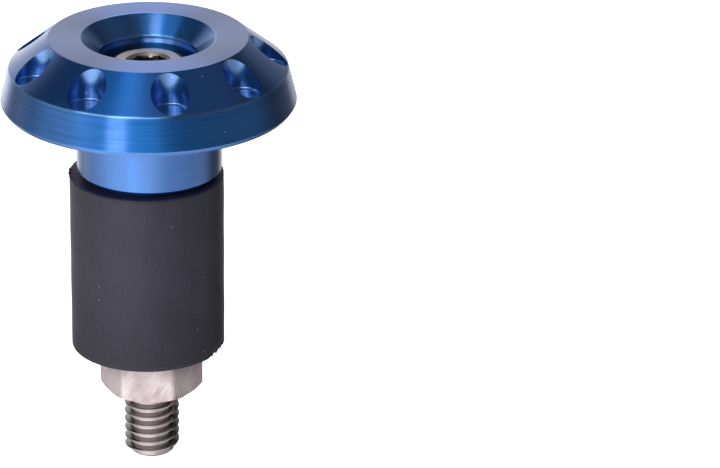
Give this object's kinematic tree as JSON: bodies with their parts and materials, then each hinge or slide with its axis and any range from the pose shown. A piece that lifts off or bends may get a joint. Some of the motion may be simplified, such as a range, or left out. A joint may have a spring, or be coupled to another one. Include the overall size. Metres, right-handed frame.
{
  "type": "bar end weight",
  "caption": "Turned and anodised handlebar end weight with a pocketed flange, a socket screw, a rubber expander sleeve and a nut that clamps it inside the bar.",
  "frame": {"origin": "centre of the annular seat under the flange, where the end of the handlebar tube stops", "axes": "+Z along the screw axis, out of the bar towards the flange's face; +X through the middle of one pocket"},
  "size_m": [0.0315, 0.0314, 0.0483],
  "materials": {
    "blue_anodised_aluminium": "satin turned, anodised blue",
    "polished_steel": "polished stainless",
    "black_rubber": "matte moulded rubber",
    "satin_steel": "satin, lightly marked"
  },
  "bodies": {
    "weight": {"bar_weight": "blue_anodised_aluminium", "rubber_sleeve": "black_rubber"},
    "screw": {"clamp_screw": "polished_steel"},
    "nut": {"clamp_nut": "satin_steel"}
  },
  "joints": [
    {"name": "screw_turn", "type": "hinge", "parent": "weight", "child": "screw", "pos_m": [0, 0, 0], "axis": [0, 0, 1], "range_deg": [-1080, 0]},
    {"name": "nut_draw", "type": "slide", "parent": "weight", "child": "nut", "axis": [0, 0, 1], "range_m": [0, 0.003], "deforming": ["rubber_sleeve"]}
  ],
  "couplings": [
    {"joint": "nut_draw", "follows": "screw_turn", "m_per_rad": -0.00015915}
  ]
}
